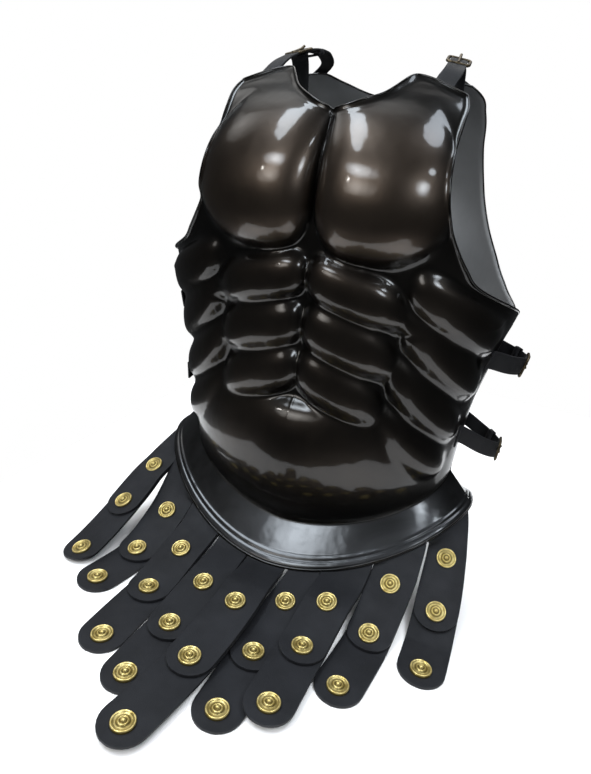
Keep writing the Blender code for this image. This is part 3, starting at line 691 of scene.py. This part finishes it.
class Nodes:
    """Adds nodes to one tree and links them. A socket's value is a constant or another socket."""

    def __init__(self, tree):
        self.tree = tree

    def fill(self, node, values):
        """Set or link a node's inputs."""
        for name, value in values.items():
            socket = node.inputs[name]
            if isinstance(value, bpy.types.NodeSocket):
                self.tree.links.new(value, socket)
            else:
                socket.default_value = (*value, 1) if socket.type == "RGBA" else value

    def add(self, kind, output, values=None, **settings):
        """One output of a new node."""
        node = self.tree.nodes.new("ShaderNode" + kind)
        for setting, value in settings.items():
            setattr(node, setting, value)
        self.fill(node, values or {})
        return node.outputs[output]

    def noise(self, scale, detail=4, stretch=(1, 1, 1), distortion=0):
        """Noise in object coordinates, drawn out along an axis if stretched."""
        place = self.add("TexCoord", "Object")
        place = self.add("Mapping", "Vector", {"Vector": place, "Scale": stretch})
        return self.add("TexNoise", "Fac", {"Vector": place, "Scale": scale, "Detail": detail,
                                            "Distortion": distortion})

    def ramp(self, source, *stops):
        """Colour ramp between two stops of (place, colour)."""
        colour = self.add("ValToRGB", "Color", {"Fac": source})
        for element, (place, tone) in zip(colour.node.color_ramp.elements, stops):
            element.position = place
            element.color = (*tone, 1)
        return colour

    def spread(self, source, low, high, reach=1):
        """Values from 0 to reach mapped to low to high."""
        return self.add("MapRange", "Result", {"Value": source, "From Min": 0, "From Max": reach,
                                               "To Min": low, "To Max": high})

    def mix(self, share, first, second):
        """Blend of two colours."""
        colours = dict(zip(MIX_COLOURS, (first, second)))
        return self.add("Mix", MIX_RESULT, {"Factor": share, **colours}, data_type="RGBA")

    def bump(self, height, distance, strength=1, **below):
        """Normal bumped by a distance in metres. below = Normal of the bump it lies on."""
        return self.add("Bump", "Normal", {"Height": height, "Distance": distance,
                                           "Strength": strength, **below})

    def attribute(self, name):
        """Value stored on the mesh."""
        return self.add("Attribute", "Fac", attribute_name=name)


def make_material(name, describe, *looks):
    """Material whose shader gets the values that describe(nodes, *looks) returns."""
    material = bpy.data.materials.new(name)
    material.use_nodes = True
    nodes = Nodes(material.node_tree)
    nodes.fill(material.node_tree.nodes["Principled BSDF"], describe(nodes, *looks))
    return material


def blackened_steel(nodes):
    """Polished steel, patinated brown-black under clear lacquer, with a brown sheen painted on the
    high raised muscles.
    """
    mottle = nodes.noise(9, detail=6, distortion=0.6)
    # The lighter brown tone is patina, and where the mask below puts it on the high raised muscles
    # it is a painted sheen; the black one is the plain blackened steel.
    patina_and_sheen = nodes.ramp(mottle, (0.3, (0.036, 0.026, 0.019)), (0.72, (0.088, 0.066, 0.05)))
    black = nodes.ramp(mottle, (0.3, (0.005, 0.0045, 0.004)), (0.72, (0.014, 0.012, 0.01)))
    bare = nodes.ramp(mottle, (0.35, (0.07, 0.072, 0.076)), (0.65, (0.26, 0.27, 0.29)))
    # Black steel, turning to the brown tone as a painted sheen where the plate's sheen mask is
    # high.
    body = nodes.mix(nodes.attribute("painted_sheen"), black, patina_and_sheen)
    streaks = nodes.noise(60, detail=3, stretch=(1, 1, 0.12))
    grain = nodes.noise(900, detail=2)
    hammered = nodes.bump(nodes.noise(42, detail=2), 0.00042)
    return {
        "Base Color": nodes.mix(nodes.attribute("worn"), body, bare),
        "Metallic": 0.9,
        "Roughness": nodes.spread(streaks, 0.28, 0.44),
        "Normal": nodes.bump(grain, 0.00001, Normal=hammered),
        "Coat Weight": 0.65,
        "Coat Roughness": 0.09,
        "Coat IOR": 1.5,
        "Coat Normal": hammered,
    }


def satin_steel(nodes):
    """Unpolished inner face of the plates."""
    mottle = nodes.noise(14, detail=6)
    tone = nodes.ramp(mottle, (0.25, (0.17, 0.172, 0.174)), (0.75, (0.25, 0.253, 0.256)))
    grain = nodes.noise(240, stretch=(1, 1, 0.2))
    return {
        "Base Color": tone,
        "Metallic": 0.55,
        "Roughness": nodes.spread(grain, 0.42, 0.62),
        "Normal": nodes.bump(grain, 0.00006),
    }


def leather(nodes, dark, light, grain_size):
    """Dyed leather with a pebbled grain and faint handling marks."""
    place = nodes.add("TexCoord", "Object")
    pebbles = nodes.add("TexVoronoi", "Distance", {"Vector": place, "Scale": grain_size})
    pebbled = nodes.bump(pebbles, 0.00022, 0.5)
    return {
        "Base Color": nodes.ramp(nodes.noise(30, detail=6), (0.3, dark), (0.75, light)),
        "Roughness": nodes.spread(nodes.noise(85, detail=5), 0.5, 0.78),
        "Specular IOR Level": 0.3,
        "Normal": nodes.bump(nodes.noise(130, detail=5), 0.0005, 0.5, Normal=pebbled),
        "Sheen Weight": 0.02,
        "Sheen Roughness": 0.5,
    }


def brass(nodes, bright, dull, roughness):
    """Stamped brass, bright on its rings and tarnished in its hollows."""
    mottle = nodes.noise(220, detail=5)
    aged = nodes.ramp(mottle, (0.35, dull), (0.62, bright))
    tarnished = tuple(TARNISH * share for share in dull)
    return {
        "Base Color": nodes.mix(nodes.attribute("hollow"), aged, tarnished),
        "Metallic": 0.78,
        "Roughness": nodes.spread(mottle, *roughness),
        "Normal": nodes.bump(mottle, 0.00012, 0.6),
    }


def pale_floor(nodes):
    """Matt white table."""
    mottle = nodes.noise(3, detail=3)
    return {
        "Base Color": nodes.ramp(mottle, (0.2, (0.86, 0.86, 0.86)), (0.8, (0.9, 0.9, 0.9))),
        "Roughness": 0.9,
    }


steel_outside = make_material("blackened_steel", blackened_steel)
steel_inside = make_material("satin_steel", satin_steel)
strap_leather = make_material(
    "pteruge_leather", leather, (0.005, 0.0053, 0.0065), (0.01, 0.0107, 0.013), 1400)
harness_leather = make_material(
    "harness_leather", leather, (0.004, 0.004, 0.005), (0.009, 0.009, 0.01), 1700)
stud_brass = make_material(
    "stud_brass", brass, (0.95, 0.78, 0.33), (0.55, 0.41, 0.12), (0.22, 0.42))
buckle_bronze = make_material(
    "buckle_bronze", brass, (0.13, 0.1, 0.06), (0.05, 0.04, 0.025), (0.28, 0.48))


# -------- plates
def build_plate(name, node, sections, rim, rows, armhole, top, relief, shift):
    """Plate with its rolled edges. shift = distance behind the torso's axis."""
    is_back = sections[0][1] > 0
    grid, height, flange_rows = plate_grid(sections, rim, rows, armhole, top, relief)
    grid = grid + (0, shift, 0)
    mesh = shell_mesh(name, grid, PLATE_THICK, flip=is_back)
    # Mask of painted sheen: it grows with the height of the embossing and toward the chest, where
    # the lamps' glow falls.
    painted_sheen = smooth(height / PAINTED_SHEEN_HEIGHT) * np.interp(grid[..., 2], *PAINTED_SHEEN_LEVELS)
    worn = np.zeros_like(height)
    worn[:flange_rows] = WEAR
    for kind, values in (("painted_sheen", painted_sheen), ("worn", worn)):
        spread = np.zeros(len(mesh.vertices), np.float32)
        spread[:values.size] = values.ravel()
        mesh.attributes.new(kind, "FLOAT", "POINT").data.foreach_set("value", spread)
    add_piece(name, mesh, [steel_outside, steel_inside], [node])
    edge_grid = grid - grid_normals(grid) * (-1 if is_back else 1) * PLATE_THICK / 2
    foot = flange_rows + round((rows[-1][0] - rows[0][0]) / ROW_STEP)
    edge = np.concatenate([edge_grid[foot:, 0], edge_grid[-1, 1:-1], edge_grid[:foot - 1:-1, -1]])
    rim_edge = edge_grid[0].copy()
    rim_edge[:, 2] = np.maximum(rim_edge[:, 2], RIM_ROLL)
    for part, path, radius in (("edge_roll", edge, EDGE_ROLL), ("rim_roll", rim_edge, RIM_ROLL)):
        curve = wire(f"{name}_{part}", [(to_frame(path), False)], radius, ROLL_ROUNDNESS)
        add_piece(curve.name, curve, [steel_outside])


build_plate("cuirass_front", "breastplate", FRONT_SECTIONS, FRONT_RIM, FRONT_ROWS, FRONT_ARMHOLE,
            FRONT_TOP, front_relief, 0)
build_plate("cuirass_back", "backplate", BACK_SECTIONS, BACK_RIM, BACK_ROWS, BACK_ARMHOLE,
            BACK_TOP, back_relief, SEAM_GAP)


# -------- leather straps
def sheet_piece(name, grid, surface, thickness, offset, flip, node, slot):
    """Leather cut from a grid of points, with rounded edges."""
    faces = grid_faces(grid_index(*grid.shape[:2]), flip)
    mesh = make_mesh(name, to_frame(grid.reshape(-1, 3)), faces)
    piece = add_piece(name, mesh, [surface], [node])
    thicken(piece, thickness, offset)
    rounded = piece.modifiers.new("rounded_edges", "BEVEL")
    rounded.width = STRAP_EDGE * MM
    rounded.segments = STRAP_EDGE_STEPS
    rounded.angle_limit = math.radians(STRAP_SHARP)


def refined(grid, rows_between):
    """Two-column grid read smoothly at more rows and straight across at more columns."""
    stations = np.linspace(0, len(grid) - 1, (len(grid) - 1) * rows_between + 1)
    table = np.column_stack([np.arange(len(grid)), grid.reshape(len(grid), -1)])
    ends = read_table(table, stations).reshape(len(stations), 2, 3)
    across = np.linspace(0, 1, STRAP_COLUMNS)[None, :, None]
    return ends[:, :1] * (1 - across) + ends[:, 1:] * across


def buckle_piece(name, node, middle, turn, width):
    """Frame of round bar with a prong across it."""
    half_x, half_y = (BUCKLE_LENGTH - BUCKLE_BAR) / 2, (width - BUCKLE_BAR) / 2
    outline = rounded_box(half_x, half_y, BUCKLE_CORNER, steps=5)
    prong = np.array([(share * half_x + past, 0, height) for share, past, height in PRONG])
    paths = [(outline * MM, True), (prong * MM, False)]
    curve = wire(name, paths, BUCKLE_BAR / 2 * BAR_FILL, BAR_ROUNDNESS)
    place = Matrix.Translation(Vector(to_frame(middle))) @ turn
    add_piece(name, curve, [buckle_bronze], [node], place)


def keeper_piece(name, middle, axes, width):
    """Leather loop round a strap. axes = the strap's travel, sideways and outward directions."""
    way, across, normal = axes
    half_y, half_z = width / 2 + KEEPER_ROOM[0], HARNESS_THICK / 2 + KEEPER_ROOM[1]
    ring = rounded_box(half_y, half_z, KEEPER_CORNER, steps=3) @ np.stack([across, normal, way])
    grid = np.stack([middle + ring + way * KEEPER_WIDTH * share for share in (-0.5, 0.5)])
    faces = grid_faces(closed(grid_index(*grid.shape[:2])))
    mesh = make_mesh(name, to_frame(grid.reshape(-1, 3)), faces)
    thicken(add_piece(name, mesh, [harness_leather]), KEEPER_THICK, 0)


def build_harness(strap, side, sign, bow):
    """A strap with its buckle, its leather loop and, inside, its free end. sign = 1 on the left."""
    node = f"{strap.name}_{side}"
    cut = (harness_leather, HARNESS_THICK, -1, sign > 0, node, "harness_leather")
    rough = harness_sheet(strap, bow) * (sign, 1, 1)
    sheet_piece(f"harness_{node}", refined(rough, STRAP_ROWS), *cut)
    row = len(strap.front) - 1 + round(strap.buckle * (BRIDGE_STEPS - 1))
    point, (way, across, normal) = grid_frame(rough, row, sign)
    turn = Matrix([way, across, normal]).transposed().to_4x4()
    buckle_piece(f"harness_{node}_buckle", f"{node}_buckle",
                 point + normal * (CONTACT_GAP + BUCKLE_THICK / 2), turn,
                 row_width(rough, row) + 2 * BUCKLE_OVERHANG)
    point, axes = grid_frame(rough, row + KEEPER_ROWS, sign)
    keeper_piece(f"harness_{node}_keeper", point - axes[2] * HARNESS_THICK / 2, axes,
                 row_width(rough, row + KEEPER_ROWS))
    if strap.name in LOOSE_ENDS:
        inside = rough[row] - normal * (HARNESS_THICK + LAYER_GAP)
        tail = np.array([inside + (0, back, -down) for back, down in LOOSE_END_FALL])
        sheet_piece(f"harness_{node}_tail", refined(tail, LOOSE_END_ROWS), *cut)


for number, strap in enumerate(PTERUGES, 1):
    for layer, is_lower in (("upper", False), ("lower", True)):
        sheet_piece(f"strap_{layer}_{number}", strap_sheet(strap, is_lower), strap_leather,
                    STRAP_THICK, 1, True, f"pteruge_{layer}_{number}", "pteruges")
for strap in HARNESS:
    build_harness(strap, "left", 1, strap.bow_left)
    build_harness(strap, "right", -1, strap.bow_right)


# -------- studs
# Half section of a stamped rosette, from the knob to the foot of the rim. columns: radius, height,
# hollow = how tarnished that ring is
STUD_PROFILE = (
    (0, 4.95, 0), (0.9, 4.8, 0), (1.6, 4.3, 0.2), (2, 3.5, 0.7), (2.3, 2.9, 1),
    (2.8, 2.7, 1), (3.1, 3, 0.6), (3.6, 3.25, 0.2), (4.1, 3.1, 0.2), (4.5, 2.6, 0.6),
    (4.9, 2, 1), (5.6, 1.6, 0.8), (6.5, 1.5, 0.5), (7.4, 1.75, 0.4), (8, 2.2, 0.6),
    (8.4, 2.6, 0.1), (8.9, 2.85, 0), (9.4, 2.7, 0.2), (9.75, 2.1, 0.6), (9.8, 1, 1),
    (9.8, 0.05, 1), (0, 0.05, 1),
)
STUD_SIDES = 40
STUD_SHARP = 70  # degrees between faces that make a sharp edge


def stud_mesh():
    """Turned rosette, its axis along Z and its base at the origin."""
    profile = np.array(STUD_PROFILE)
    turns = np.linspace(0, 2 * math.pi, STUD_SIDES, endpoint=False)
    rings = [(r * math.cos(a), r * math.sin(a), z) for r, z, _ in profile[1:-1] for a in turns]
    points = np.array([(0, 0, profile[0][1])] + rings + [(0, 0, profile[-1][1])]) * MM
    index = closed(grid_index(len(profile) - 2, STUD_SIDES, start=1))
    faces = grid_faces(index.T)
    faces += [(0, here, after) for here, after in zip(index[0], index[0, 1:])]
    faces += [(len(points) - 1, after, here) for here, after in zip(index[-1], index[-1, 1:])]
    mesh = make_mesh("rosette", points, faces)
    hollows = np.repeat(profile[:, 2], [1] + [STUD_SIDES] * (len(profile) - 2) + [1])
    hollow = mesh.attributes.new("hollow", "FLOAT", "POINT")
    hollow.data.foreach_set("value", hollows.astype(np.float32))
    mesh.set_sharp_from_angle(angle=math.radians(STUD_SHARP))
    mesh.materials.append(stud_brass)
    return mesh


rosette = stud_mesh()
for number, strap in enumerate(PTERUGES, 1):
    for index, part in enumerate(("top", "middle", "tip")):
        point, normal = stud_seat(strap, index)
        turn = Vector(normal).to_track_quat("Z", "Y").to_matrix().to_4x4()
        place = Matrix.Translation(Vector(to_frame(point))) @ turn
        node = f"stud_{number}_{part}"
        add_piece(f"rosette_{number}_{part}", rosette, (), [node], place)


# -------- floor, light and camera
low, high = cad_box
FLOOR_SIDE, FLOOR_FRONT, FLOOR_BACK = 0.36, low.y - 0.07, high.y + 0.5
FLOOR_DROP = 0.0006  # keeps the floor just clear of the rims
CHEST = Vector((0, low.y + 0.2, 0.33))
DAYLIGHT = SimpleNamespace(strength=3.9, degrees=100, tilt=(14, -8, 0))
BACKDROP = {"Color": (1, 1, 1), "Strength": 1}  # what the camera sees
MIRRORED_ROOM = {"Color": (0.9, 0.95, 1), "Strength": 0.045}  # what the steel mirrors
SOFT_PEAK = 1.6  # strength of a soft panel's middle, against an even one's
# Daylight falls from windows in the ceiling, and low panels give the round lights on the muscles.
# columns: name, place, size, radiance, colour, flat = under the ceiling, soft = faded edges
LIGHTS = (
    ("ceiling", (-0.35, 1.32, 1.9), (3.2, 2.1), 1.8, (1, 0.99, 0.97), True, True),
    ("ceiling_right", (-1.6, 0.25, 1.9), (1.7, 1.3), 1.5, (1, 0.99, 0.97), True, True),
    ("window", (-0.58, -0.15, 1.9), (0.38, 1.2), 12.5, (0.82, 0.91, 1), True, False),
    ("window_arm", (0.62, 0.28, 1.9), (0.64, 0.72), 9, (0.82, 0.9, 1), True, False),
    ("window_side", (1.4, -0.7, 1.9), (0.3, 0.3), 16, (0.84, 0.92, 1), True, False),
    ("window_low", (-0.17, -0.51, 0.84), (0.42, 0.22), 14, (0.84, 0.92, 1), False, True),
    ("window_far", (0.53, -0.44, 0.74), (0.24, 0.26), 16, (0.84, 0.92, 1), False, True),
    ("room", (-0.42, -1.4, 1), (1, 0.6), 5, (1, 0.98, 0.94), False, True),
    ("lamp_right", (-1.07, -1.8, 1.48), (0.09, 0.09), 70, (1, 0.97, 0.92), False, False),
)
CAMERA_PLACE = (0.18638, -0.502121, 0.408738)
CAMERA_TURN = (0.345, 0.339, 0.12)  # heading, downward pitch and roll, radians
CAMERA_LENS = {"sensor_width": 36, "lens": 27.78, "shift_x": -0.00665, "shift_y": -0.01325,
               "clip_start": 0.02, "clip_end": 20}


def build_floor():
    """White table top."""
    corners = [(side * FLOOR_SIDE, end, -FLOOR_DROP) for side, end in
               ((-1, FLOOR_FRONT), (1, FLOOR_FRONT), (1, FLOOR_BACK), (-1, FLOOR_BACK))]
    mesh = make_mesh("floor", np.array(corners), [(0, 1, 2, 3)])
    mesh.materials.append(make_material("pale_floor", pale_floor))
    add_object("floor", mesh)


def studio_light(name, place, size, radiance, colour, flat, soft):
    """Oval panel that looks down or, if it isn't flat, at the cuirass."""
    light = bpy.data.lights.new(name, "AREA")
    light.shape = "ELLIPSE"
    light.size, light.size_y = size
    light.energy = math.pi * radiance * (math.pi / 4 * size[0] * size[1])
    light.color = colour
    if soft:
        light.use_nodes = True
        nodes = Nodes(light.node_tree)
        spot = nodes.add("NewGeometry", "Parametric")
        offset = nodes.add("VectorMath", "Value", {0: spot, 1: (0.5, 0.5, 0)}, operation="DISTANCE")
        fade = nodes.spread(offset, SOFT_PEAK, 0, reach=0.5)
        nodes.fill(light.node_tree.nodes["Emission"], {"Strength": fade})
    holder = add_object(name, light)
    holder.location = place
    if not flat:
        holder.rotation_euler = (CHEST - Vector(place)).to_track_quat("-Z", "Y").to_euler()


def build_daylight():
    """Even light from all over the room that polished metal doesn't mirror as a spot."""
    light = bpy.data.lights.new("daylight", "SUN")
    light.energy = DAYLIGHT.strength
    light.angle = math.radians(DAYLIGHT.degrees)
    holder = add_object("daylight", light)
    holder.rotation_euler = np.radians(DAYLIGHT.tilt)
    holder.visible_glossy = False


def build_world():
    """Pale surroundings for the eye, dim ones for the polished steel to mirror."""
    world = bpy.data.worlds.new("studio")
    world.use_nodes = True
    bpy.context.scene.world = world
    nodes = Nodes(world.node_tree)
    seen, output = (world.node_tree.nodes[name] for name in ("Background", "World Output"))
    nodes.fill(seen, BACKDROP)
    mirrored = nodes.add("Background", "Background", MIRRORED_ROOM)
    is_seen = nodes.add("LightPath", "Is Camera Ray")
    both = {"Fac": is_seen, 1: mirrored, 2: seen.outputs["Background"]}
    nodes.fill(output, {"Surface": nodes.add("MixShader", "Shader", both)})


def build_camera():
    """Camera at the photograph's viewing angle."""
    heading, pitch, roll = CAMERA_TURN
    data = bpy.data.cameras.new("camera")
    for setting, value in CAMERA_LENS.items():
        setattr(data, setting, value)
    camera = add_object("camera", data)
    level_turn = Matrix.Rotation(heading, 4, "Z") @ Matrix.Rotation(math.pi / 2 - pitch, 4, "X")
    turn = level_turn @ Matrix.Rotation(roll, 4, "Z")
    camera.matrix_world = Matrix.Translation(Vector(CAMERA_PLACE)) @ turn
    bpy.context.scene.camera = camera


build_floor()
build_world()
build_camera()
build_daylight()
for light_row in LIGHTS:
    studio_light(*light_row)
bpy.context.scene.view_settings.view_transform = "Standard"
